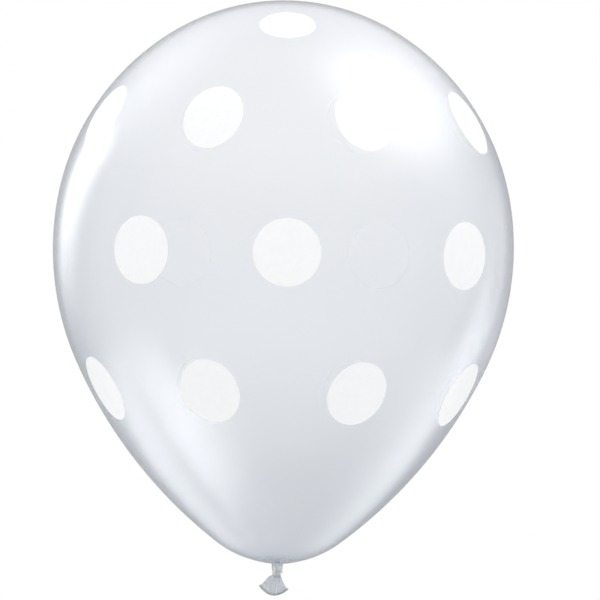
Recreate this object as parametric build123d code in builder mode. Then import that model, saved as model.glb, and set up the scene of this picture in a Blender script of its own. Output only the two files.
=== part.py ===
from build123d import *
from math import asin, cos, degrees, radians, sin
import os

# A clear latex party balloon, blown up and tied, hanging with its knot down.
# The origin is the tie point: the groove between the body and the knot, on the balloon's axis.
# +Z runs up the axis to the crown, and -Y is the front. Millimetres and degrees.

# Body
widest_diameter = 279.4  # an 11 inch balloon at its rated size
crown_height = 343.6
film = 0.4  # the wall, far thicker here than the real stretched film
shoulder_step = 20.0  # how much larger each arc of the outline is than the arc above it
waist_step = 20.0
flank_step = 115.0
crown_facing = 60.0  # which way the skin faces, up from level, where each arc ends
shoulder_facing = 10.0
waist_facing = -25.0
flank_facing = -53.0

# Neck and knot
neck_radius = 2.4
root_fillet = 1.2
seat_gap = 0.3  # clear space round each ball in its seat, so that the rubber joint can turn
seat_opening = 35.0  # how far from straight down the knot's seat reaches round the neck's end
core_radius = 2.0
core_bottom = -5.5
wrap_radius = 2.4
wrap_thickness = 2.9
wrap_height = -3.9
wrap_tilt = 6.0

# Tail and rolled lip
tail_pivot = -6.2
ball_radius = 1.8
hollow_top = -9.4
tail_wall = 0.5
tail_sections = ((-7.9, 1.9, 1.9), (-12.9, 8.2, 3.5), (-17.6, 12.4, 4.2))  # height, half width, half depth
lip_reach = 11.0  # from the tail's pivot to the outside of the rolled lip
lip_width = 1.5
lip_proud = 0.5  # how far the lip stands out of the tail's wall, outside and inside
lip_rounding = 0.5

# Printed dots
ink = 0.2
crown_dot_facing = 62.0
crown_dot_size = (34.0, 34.0)
even_row = [23.5 + 45 * step for step in range(8)]
middle_row = [1.0, 52.0, 104.0, 155.0, 207.0, 258.0, 322.0]
dot_rows = {  # how far up each row faces, its dots' width and height, and where they are round the axis
    "upper": (30.0, (37.5, 43.0), even_row),
    "middle": (-1.0, (41.0, 41.0), middle_row),
    "lower": (-28.5, (37.5, 43.0), even_row),
}
cutter_reach = 30.0  # how far a cutting shape reaches past what it cuts

# The arcs' radii follow from the widest diameter.
waist_radius = (
    widest_diameter / 2
    + shoulder_step * cos(radians(crown_facing))
    + waist_step * cos(radians(shoulder_facing))
)
shoulder_radius = waist_radius - waist_step
crown_radius = shoulder_radius - shoulder_step
outline_arcs = (
    (crown_radius, crown_facing),
    (shoulder_radius, shoulder_facing),
    (waist_radius, waist_facing),
    (waist_radius + flank_step, flank_facing),
)


def body_outline(inset):
    """Draw the body's half outline from crown to neck, set in from the skin, and return its two ends."""
    start, heading, facing = Vector(0, crown_height - inset), Vector(1, 0), 90.0
    top = start
    for radius, next_facing in outline_arcs:
        arc = JernArc(start, heading, radius - inset, next_facing - facing)
        start, heading, facing = arc @ 1, arc % 1, next_facing
    # The base is a cap centred on the axis, and a small fillet turns it down into the neck.
    base_radius = start.X / cos(radians(facing))
    fillet = root_fillet + inset
    root_slope = degrees(asin((neck_radius + root_fillet) / (base_radius + fillet)))
    base = JernArc(start, heading, base_radius, root_slope - 90 - facing)
    root = JernArc(base @ 1, base % 1, fillet, 90 - root_slope)
    return top, root @ 1


def skin_point(facing):
    """The radius and height of the point of the skin that faces this far up from level."""
    radius = crown_radius
    across, up = 0.0, crown_height - crown_radius
    for (upper_radius, seam), (lower_radius, _) in zip(outline_arcs, outline_arcs[1:]):
        if facing >= seam:
            break
        across += (upper_radius - lower_radius) * cos(radians(seam))
        up += (upper_radius - lower_radius) * sin(radians(seam))
        radius = lower_radius
    return across + radius * cos(radians(facing)), up + radius * sin(radians(facing))


def write(piece, name):
    """Label a finished piece and write it to its own file."""
    piece.part.label = name
    export_step(piece.part, f"parts/{name}.step")


os.makedirs("parts", exist_ok=True)

# Envelope: the blown-up film, a shell of revolution that is open where the neck leaves it
with BuildPart() as envelope:
    with BuildSketch(Plane.XZ):
        with BuildLine():
            outer_top, outer_end = body_outline(0)
            inner_top, inner_end = body_outline(film)
            Line(outer_top, inner_top)
            Line(outer_end, inner_end)
        make_face()
    revolve(axis=Axis.Z)
write(envelope, "envelope")

# Neck: the gathered end of the film, a short tube closed by a ball that bends in the knot's seat
neck_top = outer_end.Y
with BuildPart() as neck:
    with BuildSketch(Plane.XZ):
        with BuildLine():
            outside = Line((neck_radius, neck_top), (neck_radius, 0))
            ball = JernArc(outside @ 1, outside % 1, neck_radius, -90)
            closed_end = Line(ball @ 1, (0, film - neck_radius))
            hollow_end = JernArc(closed_end @ 1, (1, 0), neck_radius - film, 90)
            bore = Line(hollow_end @ 1, (neck_radius - film, neck_top))
            Line(bore @ 1, outside @ 0)
        make_face()
    revolve(axis=Axis.Z)
write(neck, "neck")

# Knot core: the strand pulled through the knot, seated round the neck's end and balled at the tail
seat_radius = neck_radius + seat_gap
core_top = -seat_radius * cos(radians(seat_opening))
core_middle = (core_top + core_bottom) / 2
with BuildPart() as knot_core:
    with Locations((0, 0, core_middle)):
        Cylinder(core_radius, core_top - core_bottom)
    Sphere(seat_radius, mode=Mode.SUBTRACT)
    with Locations((0, 0, tail_pivot)):
        Sphere(ball_radius)
write(knot_core, "knot_core")

# Knot wrap: the turn of neck that goes round the core
with BuildPart() as knot_wrap:
    with Locations(Location((0, 0, wrap_height), (0, wrap_tilt, 0))):
        Torus(wrap_radius, wrap_thickness / 2)
    with Locations((0, 0, wrap_height)):
        Cylinder(core_radius, cutter_reach, mode=Mode.SUBTRACT)
write(knot_wrap, "knot_wrap")


def flare(growth):
    """The cross sections of the tail's flat flare, this much larger all round than its outside."""
    sections = []
    for height, half_width, half_depth in tail_sections:
        with BuildSketch(Plane.XY.offset(height)) as section:
            Ellipse(half_width + growth, half_depth + growth)
        sections.append(section.sketch)
    return sections


def fan(radius):
    """A disc across the tail, centred on the tail's pivot, whose edge is the arc of the mouth."""
    with BuildSketch(Plane.XZ) as disc:
        with Locations((0, tail_pivot)):
            Circle(radius)
    return disc.sketch


# Tail: the loose end of the neck, spread into a flat flare below the knot
with BuildPart() as tail_hollow:
    loft(flare(-tail_wall))
    split(bisect_by=Plane.XY.offset(hollow_top), keep=Keep.BOTTOM)
with BuildPart() as tail:
    loft(flare(0))
    add(tail_hollow.part, mode=Mode.SUBTRACT)
    with Locations((0, 0, tail_pivot)):
        Sphere(ball_radius + seat_gap, mode=Mode.SUBTRACT)
    extrude(fan(lip_reach - lip_width), amount=cutter_reach, both=True, mode=Mode.INTERSECT)
write(tail, "tail")

# Rolled lip: the bead that the mouth is rolled into, along the edge of the flare
with BuildPart() as rolled_lip:
    loft(flare(lip_proud))
    loft(flare(-tail_wall - lip_proud), mode=Mode.SUBTRACT)
    extrude(fan(lip_reach), amount=cutter_reach, both=True, mode=Mode.INTERSECT)
    extrude(fan(lip_reach - lip_width), amount=cutter_reach, both=True, mode=Mode.SUBTRACT)
    fillet(rolled_lip.edges().sort_by(SortBy.LENGTH)[-4:], radius=lip_rounding)
write(rolled_lip, "rolled_lip")

# Ink layer: a closed skin on the outside of the film, from which every printed dot is cut
with BuildPart() as ink_layer:
    with BuildSketch(Plane.XZ):
        with BuildLine():
            ink_top, ink_end = body_outline(-ink)
            skin_top, skin_end = body_outline(0)
            Line(ink_top, skin_top)
            Line(ink_end, skin_end)
        make_face()
    revolve(axis=Axis.Z)


def printed_dot(name, facing, size, around):
    """Cut one dot of ink, facing this far up, this far round from the front, and write it."""
    across, up = skin_point(facing)
    round_axis = Vector(sin(radians(around)), -cos(radians(around)))
    outward = round_axis * cos(radians(facing)) + Vector(0, 0, sin(radians(facing)))
    level = Vector(cos(radians(around)), sin(radians(around)))
    centre = round_axis * across + Vector(0, 0, up)
    width, height = size
    with BuildSketch(Plane(origin=centre, x_dir=level, z_dir=outward)) as outline:
        Ellipse(width / 2, height / 2)
    with BuildPart() as dot:
        add(ink_layer.part)
        extrude(outline.sketch, amount=cutter_reach, both=True, mode=Mode.INTERSECT)
    write(dot, name)


# Printed dots: one near the crown and three rows round the body
printed_dot("dot_crown", crown_dot_facing, crown_dot_size, 0)
for row, (facing, size, places) in dot_rows.items():
    for number, around in enumerate(places, start=1):
        printed_dot(f"dot_{row}_{number}", facing, size, around)
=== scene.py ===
from math import asin, atan2, cos, degrees, e, exp, hypot, pi, radians, sin

import bpy
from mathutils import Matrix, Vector, noise


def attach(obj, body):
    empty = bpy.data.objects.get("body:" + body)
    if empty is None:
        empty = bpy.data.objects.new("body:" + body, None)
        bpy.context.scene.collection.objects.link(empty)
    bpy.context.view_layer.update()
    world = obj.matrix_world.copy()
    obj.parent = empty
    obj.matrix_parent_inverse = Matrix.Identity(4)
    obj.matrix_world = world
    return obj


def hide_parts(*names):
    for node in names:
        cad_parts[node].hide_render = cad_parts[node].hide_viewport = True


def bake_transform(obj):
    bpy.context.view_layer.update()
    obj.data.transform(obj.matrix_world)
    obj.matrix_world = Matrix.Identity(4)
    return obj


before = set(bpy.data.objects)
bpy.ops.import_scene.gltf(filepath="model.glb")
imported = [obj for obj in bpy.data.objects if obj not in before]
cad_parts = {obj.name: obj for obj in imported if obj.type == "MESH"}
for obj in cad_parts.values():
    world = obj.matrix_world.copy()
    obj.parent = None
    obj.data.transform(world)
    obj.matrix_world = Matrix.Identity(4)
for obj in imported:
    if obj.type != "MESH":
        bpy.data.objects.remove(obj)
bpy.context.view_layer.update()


# The view: level with the middle of the balloon and square to its front, from far enough away
# that its sides are seen almost edge on. The balloon leans a little to the right of upright.
mm = 0.001
picture_height = 363.6 * mm
eye_distance = 10.0
looked_at = Vector((10.7 * mm, 0, 162.2 * mm))
lean = radians(-1.1)
lens = bpy.data.cameras.new("camera")
lens.sensor_width = 36
lens.lens = lens.sensor_width * eye_distance / picture_height
eye = bpy.data.objects.new("camera", lens)
eye.location = looked_at - Vector((0, eye_distance, 0))
eye.rotation_euler = (pi / 2, lean, 0)
bpy.context.scene.collection.objects.link(eye)
bpy.context.scene.camera = eye


# The studio: a white backdrop all round and a plain pale floor. The gloss of the film mirrors a
# dimmer room, with a pale ceiling, a soft lamp high on the right, a tall one on the left and a
# faint light low on either side. A darker gap in the wall behind draws the film's rim.
class Reading:
    """A value read from a node, which arithmetic carries on into Math nodes."""

    def __init__(self, recipe, node, output):
        self.recipe = recipe
        self.node = node
        self.output = output

    def __getitem__(self, name):
        """Another output of the same node."""
        return Reading(self.recipe, self.node, self.node.outputs[name])

    def __add__(self, other):
        return self.recipe.maths("ADD", self, other)

    def __radd__(self, other):
        return self.recipe.maths("ADD", other, self)

    def __sub__(self, other):
        return self.recipe.maths("SUBTRACT", self, other)

    def __rsub__(self, other):
        return self.recipe.maths("SUBTRACT", other, self)

    def __mul__(self, other):
        return self.recipe.maths("MULTIPLY", self, other)

    def __rmul__(self, other):
        return self.recipe.maths("MULTIPLY", other, self)

    def __truediv__(self, other):
        return self.recipe.maths("DIVIDE", self, other)

    def __rtruediv__(self, other):
        return self.recipe.maths("DIVIDE", other, self)

    def __pow__(self, other):
        return self.recipe.maths("POWER", self, other)

    def __rpow__(self, other):
        return self.recipe.maths("POWER", other, self)

    def __abs__(self):
        return self.recipe.maths("ABSOLUTE", self, 0)


class Recipe:
    """The nodes of one material, or of the studio's backdrop."""

    def __init__(self, owner):
        owner.use_nodes = True
        self.tree = owner.node_tree
        self.tree.nodes.clear()

    def add(self, kind, settings, values):
        """Add a node: its settings first, then a value or a link for each of its sockets."""
        node = self.tree.nodes.new(kind)
        for name, setting in settings.items():
            if name == "stops":
                ramp = node.color_ramp
                while len(ramp.elements) < len(setting):
                    ramp.elements.new(1.0)
                for stop, (place, colour) in zip(ramp.elements, setting):
                    stop.position = place
                    stop.color = colour
            else:
                setattr(node, name, setting)
        for name, value in values.items():
            if isinstance(name, int):
                socket = node.inputs[name]
            else:
                socket = next(s for s in node.inputs if s.name == name and s.enabled)
            if isinstance(value, Reading):
                self.tree.links.new(value.output, socket)
            else:
                socket.default_value = value
        outputs = [s for s in node.outputs if s.enabled]
        return Reading(self, node, outputs[0] if outputs else None)

    def maths(self, operation, first, second):
        return self.add("ShaderNodeMath", {"operation": operation}, {0: first, 1: second})

    def fade(self, reading, start, end):
        """Nought before start and one after end, turning smoothly between them."""
        return self.add("ShaderNodeMapRange", {"interpolation_type": "SMOOTHSTEP"}, {
            "Value": reading, "From Min": start, "From Max": end, "To Min": 0.0, "To Max": 1.0})

    def towards(self, way, other):
        """How nearly one way points along another: one where they are the same."""
        return self.add("ShaderNodeVectorMath", {"operation": "DOT_PRODUCT"},
                        {0: way, 1: other})["Value"]


bpy.context.scene.view_settings.view_transform = "Standard"
world = bpy.data.worlds.new("studio")
bpy.context.scene.world = world
air = Recipe(world)
path = air.add("ShaderNodeLightPath", {}, {})
seen = path["Is Camera Ray"]
mirrored = path["Is Glossy Ray"]
way = air.add("ShaderNodeTexCoord", {}, {})["Generated"]
ways = air.add("ShaderNodeSeparateXYZ", {}, {"Vector": way})
right, back, up = ways["X"], ways["Y"], ways["Z"]
backdrop_fill = 1.05

wall_glow = 0.70
front_wall_glow = 0.42
front_wall_place = (0.25, -0.15)
ceiling_glow = 1.7
ceiling_place = (0.15, 0.8)
walls = wall_glow + (front_wall_glow - wall_glow) * air.fade(back, *front_wall_place)
open_room = walls + (ceiling_glow - walls) * air.fade(up, *ceiling_place)

gap_half_width = 0.66
gap_half_height = 0.68
gap_middle = -0.30
gap_edge = (1.3, 0.75)
gap_depth = (0.0, 0.2)
gap_glow_low = 0.50
gap_glow_high = 0.45
gap_brightening = (-0.12, 0.08)
gap_across = right / gap_half_width
gap_up = (up - gap_middle) / gap_half_height
gap = (air.fade(gap_across * gap_across + gap_up * gap_up, *gap_edge)
       * air.fade(back, *gap_depth))
gap_glow = gap_glow_low + (gap_glow_high - gap_glow_low) * air.fade(up, *gap_brightening)
room = open_room + gap * (gap_glow - open_room)

high_lamp_way = (0.61, 0.05, 0.79)
high_lamp_glow = 12.5
high_lamp_spread = 0.23
off_high_lamp = air.towards(way, high_lamp_way) - 1
high_lamp = high_lamp_glow * e ** (off_high_lamp / high_lamp_spread ** 2)

side_lamp_glow = 7.0
side_lamp_place = radians(42)
side_lamp_lean = radians(24)
side_lamp_edge = (radians(17), radians(6))
side_lamp_foot = (-0.25, 0.45)
side_lamp_head = (0.48, 0.36)
left_of_back = air.maths("ARCTAN2", -1 * right, back)
off_side_lamp = abs(left_of_back - side_lamp_place - side_lamp_lean * up)
side_lamp = (side_lamp_glow * air.fade(off_side_lamp, *side_lamp_edge)
             * air.fade(up, *side_lamp_foot) * air.fade(up, *side_lamp_head))

low_light_way = (0.62, 0.50, -0.60)
low_light_glow = 3.6
low_light_spread = 0.25
low_light_top = (-0.34, -0.50)
either_side = air.add("ShaderNodeCombineXYZ", {}, {"X": abs(right), "Y": back, "Z": up})
off_low_light = air.towards(either_side, low_light_way) - 1
low_light = (low_light_glow * e ** (off_low_light / low_light_spread ** 2)
             * air.fade(up, *low_light_top))

lit = mirrored * (room + high_lamp + side_lamp + low_light) + (1 - mirrored) * backdrop_fill
shine = air.add("ShaderNodeBackground", {}, {
    "Color": (1, 1, 1, 1), "Strength": seen + (1 - seen) * lit})
air.add("ShaderNodeOutputWorld", {}, {"Surface": shine})

floor_drop = 0.5
floor_radius = 6.0
floor_sides = 96
floor_turns = [2 * pi * n / floor_sides for n in range(floor_sides)]
floor_mesh = bpy.data.meshes.new("floor")
floor_mesh.from_pydata(
    [(floor_radius * cos(turn), floor_radius * sin(turn), -floor_drop) for turn in floor_turns],
    [], [tuple(range(floor_sides))])
floor = bpy.data.objects.new("floor", floor_mesh)
bpy.context.scene.collection.objects.link(floor)
floor.visible_glossy = False
pale_paper = bpy.data.materials.new("pale paper")
paper = Recipe(pale_paper)
paper_grain = paper.add("ShaderNodeTexNoise", {}, {"Scale": 300.0, "Detail": 4.0})
paper_tone = paper.add("ShaderNodeValToRGB", {"stops": [
    (0.3, (0.845, 0.847, 0.85, 1)), (0.7, (0.865, 0.867, 0.87, 1))]}, {"Fac": paper_grain})
paper_finish = paper.add("ShaderNodeBsdfPrincipled", {}, {
    "Base Color": paper_tone, "Roughness": 0.9})
paper.add("ShaderNodeOutputMaterial", {}, {"Surface": paper_finish})
floor_mesh.materials.append(pale_paper)


# The film: natural latex with no colour in it, dipped as one seamless skin and stretched thin by
# the air. It thickens towards the neck, where it is drawn together in fine pleats.
widest = 139.7
crown_top = 343.6
crown_end, shoulder_end, waist_end, flank_end = 60, 10, -25, -53  # how far up each arc's end faces
shoulder_growth, waist_growth, flank_growth = 20, 20, 115  # in radius, from the arc above
neck_radius = 2.9
root_fillet = 1.4
root_points = 9
straight_down = -90
film_sides = 288
ring_spacing = 1.0  # in degrees of the way the skin faces
base_ring_spacing = 0.8
pleat_depth = 0.36
pleat_reach = 7.0
pleats = ((7, 1.0, 1.2), (12, 0.5, 2.1), (19, 0.25, 4.0))

arc_radius = (widest - shoulder_growth * (1 - cos(radians(crown_end)))
              - waist_growth * (1 - cos(radians(shoulder_end))))
arc_centre = (0.0, crown_top - arc_radius)
skin_arcs = [(arc_centre, arc_radius, 90, crown_end)]  # centre, radius, and first and last facing
for growth, first, last in ((shoulder_growth, crown_end, shoulder_end),
                            (waist_growth, shoulder_end, waist_end),
                            (flank_growth, waist_end, flank_end)):
    arc_centre = (arc_centre[0] - growth * cos(radians(first)),
                  arc_centre[1] - growth * sin(radians(first)))
    arc_radius += growth
    skin_arcs.append((arc_centre, arc_radius, first, last))
flank_foot = (arc_centre[0] + arc_radius * cos(radians(flank_end)),
              arc_centre[1] + arc_radius * sin(radians(flank_end)))
base_radius = flank_foot[0] / cos(radians(flank_end))
base_centre = (0.0, flank_foot[1] - base_radius * sin(radians(flank_end)))
skin_arcs.append((base_centre, base_radius, flank_end, straight_down))
root_slope = asin((neck_radius + root_fillet) / (base_radius + root_fillet))
root_centre = (neck_radius + root_fillet,
               base_centre[1] - (base_radius + root_fillet) * cos(root_slope))

outline = []  # radius, height, and how far up the skin faces
for centre, radius, first, last in skin_arcs:
    spacing = ring_spacing
    if last == straight_down:
        last += degrees(root_slope)
        spacing = base_ring_spacing
    count = round((first - last) / spacing)
    for n in range(count):
        facing = first + (last - first) * n / count
        outline.append((centre[0] + radius * cos(radians(facing)),
                        centre[1] + radius * sin(radians(facing)), facing))
for n in range(root_points):
    turn = root_slope + (pi / 2 - root_slope) * n / (root_points - 1)
    outline.append((root_centre[0] - root_fillet * sin(turn),
                    root_centre[1] + root_fillet * cos(turn), degrees(turn) + straight_down))
film_foot = outline[-1][1]


def waves(turn, *trains):
    """Waves round a ring: how many of each there are, how high, and where they start."""
    return sum(height * cos(number * turn + start) for number, height, start in trains)


def pleat(around, away):
    """How far a pleat stands out of the skin, this far round and this far from the neck."""
    return pleat_depth * exp(-max(0.0, away - neck_radius) / pleat_reach) * waves(around, *pleats)


def skin_piece(name, points, faces):
    """A smooth piece of these points, in millimetres, and faces."""
    mesh = bpy.data.meshes.new(name)
    mesh.from_pydata([Vector(point) * mm for point in points], [], faces)
    mesh.shade_smooth()
    piece = bpy.data.objects.new(name, mesh)
    bpy.context.scene.collection.objects.link(piece)
    return piece


def closed_skin(name, rings, first_end, last_end):
    """A piece from rings of points, each joined to the next, drawn in to a point at both ends."""
    sides = len(rings[0])
    points = [point for ring in rings for point in ring] + [first_end, last_end]
    faces = []
    for row in range(len(rings) - 1):
        for n in range(sides):
            m = (n + 1) % sides
            faces.append((row * sides + n, (row + 1) * sides + n,
                          (row + 1) * sides + m, row * sides + m))
    last_row = (len(rings) - 1) * sides
    faces += [(n, (n + 1) % sides, len(points) - 2) for n in range(sides)]
    faces += [(last_row + (n + 1) % sides, last_row + n, len(points) - 1) for n in range(sides)]
    return skin_piece(name, points, faces)


film_rings = []
for across, height, facing in outline[1:]:
    ring = []
    for n in range(film_sides):
        around = 2 * pi * n / film_sides
        out = pleat(around, hypot(across, height))
        away = across + out * cos(radians(facing))
        ring.append((away * cos(around), away * sin(around), height + out * sin(radians(facing))))
    film_rings.append(ring)
film_piece = closed_skin("film", film_rings, (0, 0, crown_top), (0, 0, film_foot))

crown_milk, waist_milk, flank_milk, base_milk, foot_milk, neck_milk = (
    0.078, 0.135, 0.178, 0.255, 0.25, 0.42)
milk_cloudiness = 0.3
tone_cloudiness = 0.2
square_on_gloss = 0.04
edge_on_path = 1.1  # keeps the way through the film, seen edge on, from growing without end
latex_tint = (0.982, 0.989, 1.0, 1)
mirror_tint = (0.98, 0.985, 1.0, 1)


def grey(level):
    return (level, level, level, 1)


def gloss(facing_away):
    """How much of the room latex mirrors: little where it is seen square on, all edge on."""
    return square_on_gloss + (1 - square_on_gloss) * facing_away ** 5


def haze(milk, facing_away):
    """How much latex hides of what is behind it, which grows with the way through it."""
    return 1 - (1 - milk) ** (1 / (edge_on_path - facing_away))


clear_latex = bpy.data.materials.new("clear latex")
latex = Recipe(clear_latex)
where = latex.add("ShaderNodeTexCoord", {}, {})["Object"]
share_up = latex.add("ShaderNodeSeparateXYZ", {}, {"Vector": where})["Z"] / (crown_top * mm)
facing_away = latex.add("ShaderNodeLayerWeight", {}, {"Blend": 0.5})["Facing"]
cloud = latex.add("ShaderNodeTexNoise", {}, {"Vector": where, "Scale": 14.0, "Detail": 3.0})
thickness = latex.add("ShaderNodeValToRGB", {"stops": [
    (0.0, grey(neck_milk)), (0.02, grey(foot_milk)), (0.14, grey(base_milk)),
    (0.32, grey(flank_milk)), (0.5, grey(waist_milk)), (0.9, grey(crown_milk))]},
    {"Fac": share_up})
latex_tone = latex.add("ShaderNodeValToRGB", {"stops": [
    (0.1, (0.33, 0.37, 0.425, 1)), (0.5, (0.33, 0.375, 0.45, 1)),
    (0.9, (0.32, 0.355, 0.44, 1))]}, {"Fac": share_up + tone_cloudiness * (cloud - 0.5)})
ripple = latex.add("ShaderNodeTexNoise", {}, {"Vector": where, "Scale": 34.0, "Detail": 1.0})
ripples = latex.add("ShaderNodeBump", {}, {
    "Strength": 0.1, "Distance": 0.15 * mm, "Height": ripple})
latex_clear = latex.add("ShaderNodeBsdfTransparent", {}, {"Color": latex_tint})
latex_body = latex.add("ShaderNodeBsdfPrincipled", {}, {
    "Base Color": latex_tone, "Roughness": 0.6, "Specular IOR Level": 0.0})
latex_mirror = latex.add("ShaderNodeBsdfPrincipled", {}, {
    "Base Color": mirror_tint, "Metallic": 1.0, "Roughness": 0.2, "Normal": ripples})
latex_milk = thickness * (1 - milk_cloudiness / 2 + milk_cloudiness * cloud)
latex_skin = latex.add("ShaderNodeMixShader", {}, {
    0: haze(latex_milk, facing_away), 1: latex_clear, 2: latex_body})
latex_glazed = latex.add("ShaderNodeMixShader", {}, {
    0: gloss(facing_away), 1: latex_skin, 2: latex_mirror})
latex.add("ShaderNodeOutputMaterial", {}, {"Surface": latex_glazed})
film_piece.data.materials.append(clear_latex)
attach(film_piece, "balloon")
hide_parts("envelope")


# The printed dots: opaque white ink, rolled onto the balloon while it is half blown up, so that
# it stretches with the film. Each dot dries with a slightly raised edge.
ink_lift = 0.04
ink_body = 0.10
ink_edge = 0.05
ink_edge_place = 0.975
ink_edge_width = 0.014
ink_top_reach = 0.996
ink_under_reach = 0.99
ink_rim = ((0.9985, 0.75), (1.0, 0.4), (0.998, 0.0))  # shares of the radius and the thickness
ink_unevenness = 0.006
ink_wobbles = 3
settling_steps = 6
dot_sides = 96
dot_rings = 14
painted_under_glow = 0.285  # painted glow: stands in for the light the side against the film gets from inside the balloon


def off_skin(point):
    """How far a point is outside the balloon's smooth skin, and the way out of it."""
    away = hypot(point.x, point.y)
    for centre, radius, _, last in skin_arcs:
        facing = atan2(point.z - centre[1], away - centre[0])
        if facing >= radians(last):
            break
    out = hypot(point.z - centre[1], away - centre[0]) - radius
    return out, Vector((point.x / away * cos(facing), point.y / away * cos(facing), sin(facing)))


def skin_place(facing):
    """The radius and height of the place on the skin that faces this far up."""
    centre, radius = next(arc[:2] for arc in skin_arcs if facing >= arc[3])
    return centre[0] + radius * cos(radians(facing)), centre[1] + radius * sin(radians(facing))


def dot_profile():
    """The shares of the dot's radius and the heights off the film of its rings, top then under."""
    profile = []
    for n in range(1, dot_rings + 1):
        share = sin(pi / 2 * n / dot_rings)
        bead = exp(-((share - ink_edge_place) / ink_edge_width) ** 2)
        profile.append((share * ink_top_reach, ink_lift + ink_body + ink_edge * bead))
    profile += [(share, ink_lift + part * ink_body) for share, part in ink_rim]
    for n in range(dot_rings - 1, 0, -1):
        profile.append((sin(pi / 2 * n / dot_rings) * ink_under_reach, ink_lift))
    return profile


def printed_dot(name, facing, width, height, around):
    """One dot of ink, centred where the skin faces this far up, this far round from the front."""
    across, up_axis = skin_place(facing)
    level_out = Vector((sin(radians(around)), -cos(radians(around)), 0))
    outward = level_out * cos(radians(facing)) + Vector((0, 0, sin(radians(facing))))
    along = Vector((cos(radians(around)), sin(radians(around)), 0))
    upward = outward.cross(along)
    centre = level_out * across + Vector((0, 0, up_axis))

    def on_skin(share, turn, lift):
        wander = noise.noise(Vector((
            ink_wobbles * cos(turn), ink_wobbles * sin(turn), around + facing)))
        place = centre + share * (1 + ink_unevenness * wander) * (
            along * (width / 2 * cos(turn)) + upward * (height / 2 * sin(turn)))
        for _ in range(settling_steps):
            place -= outward * off_skin(place)[0]
        return place + off_skin(place)[1] * lift

    rings = [[on_skin(share, 2 * pi * n / dot_sides, lift) for n in range(dot_sides)]
             for share, lift in dot_profile()]
    piece = closed_skin(name, rings, centre + outward * (ink_lift + ink_body),
                        centre + outward * ink_lift)
    piece.data.materials.append(ink_finish)
    piece.data.materials.append(ink_underside)
    ring_faces = (len(rings) - 1) * dot_sides
    for index in (*range((dot_rings + len(ink_rim) - 1) * dot_sides, ring_faces),
                  *range(ring_faces + dot_sides, ring_faces + 2 * dot_sides)):
        piece.data.polygons[index].material_index = 1
    return piece


ink_finish = bpy.data.materials.new("white ink")
ink = Recipe(ink_finish)
where = ink.add("ShaderNodeTexCoord", {}, {})["Object"]
mottle = ink.add("ShaderNodeTexNoise", {}, {"Vector": where, "Scale": 260.0, "Detail": 4.0})
ink_tone = ink.add("ShaderNodeValToRGB", {"stops": [
    (0.3, (0.935, 0.94, 0.95, 1)), (0.7, (0.96, 0.965, 0.97, 1))]}, {"Fac": mottle})
crackle = ink.add("ShaderNodeTexVoronoi", {}, {"Vector": where, "Scale": 900.0})
ink_surface = ink.add("ShaderNodeBump", {}, {
    "Strength": 0.15, "Distance": 0.04 * mm, "Height": mottle * 0.7 + 0.3 * crackle})
ink_shader = ink.add("ShaderNodeBsdfPrincipled", {}, {
    "Base Color": ink_tone, "Roughness": 0.42 + 0.12 * mottle, "Normal": ink_surface,
    "Specular IOR Level": 0.35})
ink.add("ShaderNodeOutputMaterial", {}, {"Surface": ink_shader})

# The side of each dot against the film: a warmer white than the top, with a painted glow. Both
# stand in for the light that reaches it through the film from inside the balloon.
ink_underside = bpy.data.materials.new("white ink against the film with painted glow")
under = Recipe(ink_underside)
under_mottle = under.add("ShaderNodeTexNoise", {}, {"Scale": 260.0, "Detail": 4.0})
under_tone = under.add("ShaderNodeValToRGB", {"stops": [
    (0.3, (0.98, 0.965, 0.94, 1)), (0.7, (0.99, 0.975, 0.955, 1))]}, {"Fac": under_mottle})
under_shader = under.add("ShaderNodeBsdfPrincipled", {}, {
    "Base Color": under_tone, "Roughness": 0.8, "Specular IOR Level": 0.0,
    "Emission Color": (1, 0.97, 0.91, 1), "Emission Strength": painted_under_glow})
under.add("ShaderNodeOutputMaterial", {}, {"Surface": under_shader})

even_row = [23.5 + 45 * n for n in range(8)]
dot_rows = {  # how far up each row faces, its dots' width and height, and where they are
    "upper": (30.0, 37.5, 43.0, even_row),
    "middle": (-1.0, 41.0, 41.0, [1, 52, 104, 155, 207, 258, 322]),
    "lower": (-28.5, 37.5, 43.0, even_row),
}
dots = [("crown", 62.0, 34.0, 34.0, 0.0)]
for row, (facing, width, height, places) in dot_rows.items():
    for number, around in enumerate(places, start=1):
        dots.append((f"{row}_{number}", facing, width, height, around))
for name, facing, width, height, around in dots:
    dot = printed_dot(f"ink_{name}", facing, width, height, around)
    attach(dot, "balloon")
    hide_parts(f"dot_{name}")


# The neck: the balloon's own mouth drawn down to a bunch of pleats below the film, where it is
# pulled into the knot. The rubber is hardly stretched here, so that it is thick and milky.
neck_bottom = -2.6
neck_rows = 22
neck_sides = 144
neck_swell = 0.25
neck_taper = 0.5
neck_twist = 0.25
neck_smoothing = 0.3
neck_rings = []
for row in range(neck_rows + 1):
    share = row / neck_rows
    height = film_foot + (neck_bottom - film_foot) * share
    round_neck = neck_radius + neck_swell * sin(pi * share) - neck_taper * share
    ring = []
    for n in range(neck_sides):
        around = 2 * pi * n / neck_sides
        fold = pleat(around + neck_twist * share * share, neck_radius)
        away = round_neck + fold * (1 - neck_smoothing * share)
        ring.append((away * cos(around), away * sin(around), height))
    neck_rings.append(ring)
neck_piece = closed_skin("gathered_neck", neck_rings, (0, 0, film_foot), (0, 0, neck_bottom))


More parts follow.
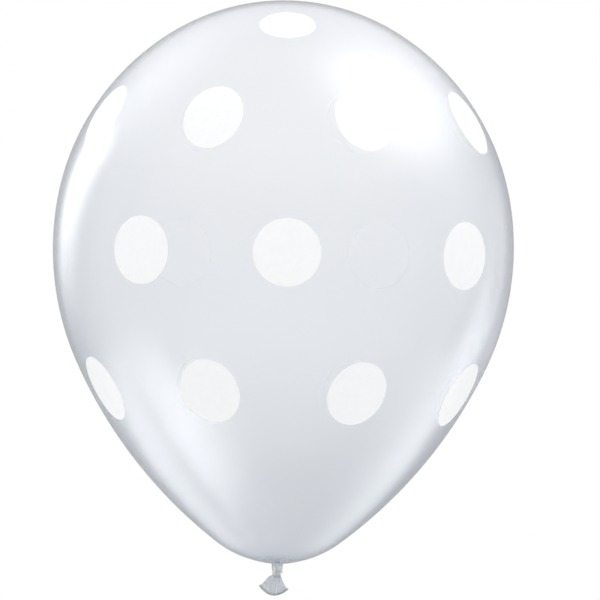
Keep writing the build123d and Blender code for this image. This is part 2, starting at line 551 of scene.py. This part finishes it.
def milky_latex(name, thin, thick, dark, light):
    """Unstretched latex, more or less milky in streaks, with fine creases and a soft gloss."""
    finish = bpy.data.materials.new(name)
    bunch = Recipe(finish)
    where = bunch.add("ShaderNodeTexCoord", {}, {})["Object"]
    facing_away = bunch.add("ShaderNodeLayerWeight", {}, {"Blend": 0.5})["Facing"]
    drawn_out = bunch.add("ShaderNodeMapping", {}, {"Vector": where, "Scale": (1.0, 1.0, 0.25)})
    streak = bunch.add("ShaderNodeTexNoise", {}, {
        "Vector": drawn_out, "Scale": 420.0, "Detail": 2.0})
    tone = bunch.add("ShaderNodeValToRGB", {"stops": [(0.3, dark), (0.7, light)]}, {"Fac": streak})
    crease = bunch.add("ShaderNodeTexNoise", {}, {"Vector": where, "Scale": 900.0, "Detail": 4.0})
    creases = bunch.add("ShaderNodeBump", {}, {
        "Strength": 0.5, "Distance": 0.1 * mm, "Height": crease})
    through = bunch.add("ShaderNodeBsdfTransparent", {}, {"Color": (0.94, 0.955, 0.965, 1)})
    body = bunch.add("ShaderNodeBsdfPrincipled", {}, {
        "Base Color": tone, "Roughness": 0.5, "Specular IOR Level": 0.3, "Normal": creases})
    mirror = bunch.add("ShaderNodeBsdfPrincipled", {}, {
        "Base Color": mirror_tint, "Metallic": 1.0, "Roughness": 0.22, "Normal": creases})
    skin = bunch.add("ShaderNodeMixShader", {}, {
        0: haze(thin + (thick - thin) * streak, facing_away), 1: through, 2: body})
    glazed = bunch.add("ShaderNodeMixShader", {}, {0: gloss(facing_away), 1: skin, 2: mirror})
    bunch.add("ShaderNodeOutputMaterial", {}, {"Surface": glazed})
    return finish


gathered_latex = milky_latex(
    "gathered latex", 0.45, 0.9, (0.62, 0.63, 0.65, 1), (0.90, 0.91, 0.93, 1))
neck_piece.data.materials.append(gathered_latex)
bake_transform(neck_piece)
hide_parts("neck")


# The knot: the neck is wound once round itself and its end pulled through the turn. What shows
# is one fat turn of creased rubber, and the strand that comes out below it.
strand_top = -2.3
strand_bottom = -6.2
strand_radius = 1.9
strand_twist = 1.4
strand_sides = 64
strand_rows = 16
strand_rings = []
for row in range(strand_rows + 1):
    share = row / strand_rows
    ring = []
    for n in range(strand_sides):
        around = 2 * pi * n / strand_sides
        away = strand_radius + waves(around, (9, 0.22, strand_twist * share), (5, 0.1, 2))
        height = strand_top + (strand_bottom - strand_top) * share
        ring.append((away * cos(around), away * sin(around), height))
    strand_rings.append(ring)
strand_piece = closed_skin(
    "knot_strand", strand_rings, (0, 0, strand_top), (0, 0, strand_bottom))
strand_piece.data.materials.append(gathered_latex)
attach(strand_piece, "knot")
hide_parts("knot_core")

turn_start = -0.75 * pi
turn_sweep = 1.35 * 2 * pi
turn_top = -2.0
turn_fall = 2.1
turn_radius = 2.05
turn_tuck = 0.35
turn_thickness = 1.22
turn_height = 1.1  # how much taller than wide the rubber is
turn_taper = 5
turn_tip = 0.02
turn_steps = 220
turn_sides = 28
turn_rings = []
for step in range(turn_steps + 1):
    share = step / turn_steps
    angle = turn_start + turn_sweep * share
    taper = min(1.0, turn_taper * share, turn_taper * (1 - share)) ** 0.5
    middle = turn_radius - turn_tuck * (1 - taper)
    out = Vector((cos(angle), sin(angle), 0))
    ring = []
    for n in range(turn_sides):
        turn = 2 * pi * n / turn_sides
        ridge = waves(turn, (5, 0.07, 9 * angle), (3, 0.05, -4 * angle))
        thick = (turn_thickness + ridge) * taper + turn_tip
        height = turn_top - turn_fall * share + turn_height * thick * sin(turn)
        ring.append(out * (middle + thick * cos(turn)) + Vector((0, 0, height)))
    turn_rings.append(ring)
turn_piece = closed_skin("knot_turn", turn_rings, sum(turn_rings[0], Vector()) / turn_sides,
                         sum(turn_rings[-1], Vector()) / turn_sides)
turn_piece.data.materials.append(gathered_latex)
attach(turn_piece, "knot")
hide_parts("knot_wrap")


# The tail: the last of the neck below the knot, unstretched, fanning out flat into a lopsided
# bell with soft folds that run down from the knot.
tail_wall = 0.32
tail_sides = 160
tail_rows = 30
tail_hollow_row = 4
tail_shape = (  # each row's left end, its right end, half its depth, and how far its middle hangs
    (-1.8, -4.2, 1.8, -4.2, 1.8, 0.0),
    (-3.3, -4.8, 2.5, -5.2, 2.0, 0.0),
    (-5.6, -6.1, 3.0, -6.9, 2.4, 0.3),
    (-7.3, -8.2, 4.0, -9.1, 2.9, 1.2),
    (-9.0, -10.0, 5.2, -11.4, 3.4, 2.7),
    (-10.3, -11.3, 6.4, -13.2, 3.8, 4.2),
)
fold_spread = 0.6
pinch_depth = 0.16
pinch_place = 1.62 * pi
pinch_width = 0.16


def between(before, first, second, after, share):
    """A smooth value between the first and second of four numbers."""
    return first + 0.5 * share * (
        second - before + share * (
            2 * before - 5 * first + 4 * second - after + share * (
                3 * (first - second) + after - before)))


def tail_ring(share, inset):
    """A ring of points round the tail, this share of the way down it, set in from its outside."""
    place = share * (len(tail_shape) - 1)
    index = min(int(place), len(tail_shape) - 2)
    near = [tail_shape[min(max(index + n, 0), len(tail_shape) - 1)] for n in (-1, 0, 1, 2)]
    left_x, left_z, right_x, right_z, depth, hang = (
        between(*column, place - index) for column in zip(*near))
    middle = Vector(((left_x + right_x) / 2, 0, (left_z + right_z) / 2))
    half = Vector(((right_x - left_x) / 2, 0, (right_z - left_z) / 2))
    half -= half.normalized() * inset
    down = Vector((half.z, 0, -half.x)).normalized()
    ring = []
    for n in range(tail_sides):
        turn = 2 * pi * n / tail_sides
        fold = waves(turn, (7, 0.34, 0.9), (11, 0.22, 2.6 * share)) * share ** fold_spread
        pinch = 1 - pinch_depth * share * exp(-((turn - pinch_place) / pinch_width) ** 2)
        deep = (depth - inset) * pinch + fold
        ring.append(middle + half * cos(turn) + Vector((0, deep * sin(turn), 0))
                    + down * (hang * sin(turn) ** 2))
    return ring


tail_rings = [tail_ring(row / tail_rows, 0) for row in range(tail_rows + 1)]
tail_rings += [tail_ring(row / tail_rows, tail_wall)
               for row in range(tail_rows, tail_hollow_row, -1)]
tail_piece = closed_skin("tail_flare", tail_rings, sum(tail_rings[0], Vector()) / tail_sides,
                         sum(tail_rings[-1], Vector()) / tail_sides)
loose_latex = milky_latex(
    "loose latex", 0.10, 0.60, (0.50, 0.53, 0.56, 1), (0.86, 0.89, 0.91, 1))
tail_piece.data.materials.append(loose_latex)
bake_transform(tail_piece)
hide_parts("tail")


# The rolled lip: the rim of the mouth rolled up on itself before the latex was cured, which
# leaves a firm round bead along the edge of the tail.
bead_radius = 0.72
bead_sides = 18
lip_line = tail_ring(1.0, tail_wall / 2)
lip_points = []
lip_faces = []
for n, place in enumerate(lip_line):
    ahead = (lip_line[(n + 1) % tail_sides] - lip_line[n - 1]).normalized()
    beside = ahead.cross(Vector((0, 0, 1))).normalized()
    above = beside.cross(ahead)
    turn = 2 * pi * n / tail_sides
    thick = bead_radius * (1 + waves(turn, (9, 0.05, 0), (23, 0.04, 1)))
    here, there = n * bead_sides, (n + 1) % tail_sides * bead_sides
    for m in range(bead_sides):
        roll = 2 * pi * m / bead_sides
        lip_points.append(place + thick * (beside * cos(roll) + above * sin(roll)))
        k = (m + 1) % bead_sides
        lip_faces.append((here + m, here + k, there + k, there + m))
lip_piece = skin_piece("lip_bead", lip_points, lip_faces)
rolled_latex = milky_latex(
    "rolled latex", 0.7, 0.9, (0.36, 0.375, 0.39, 1), (0.46, 0.475, 0.49, 1))
lip_piece.data.materials.append(rolled_latex)
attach(lip_piece, "tail")
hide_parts("rolled_lip")
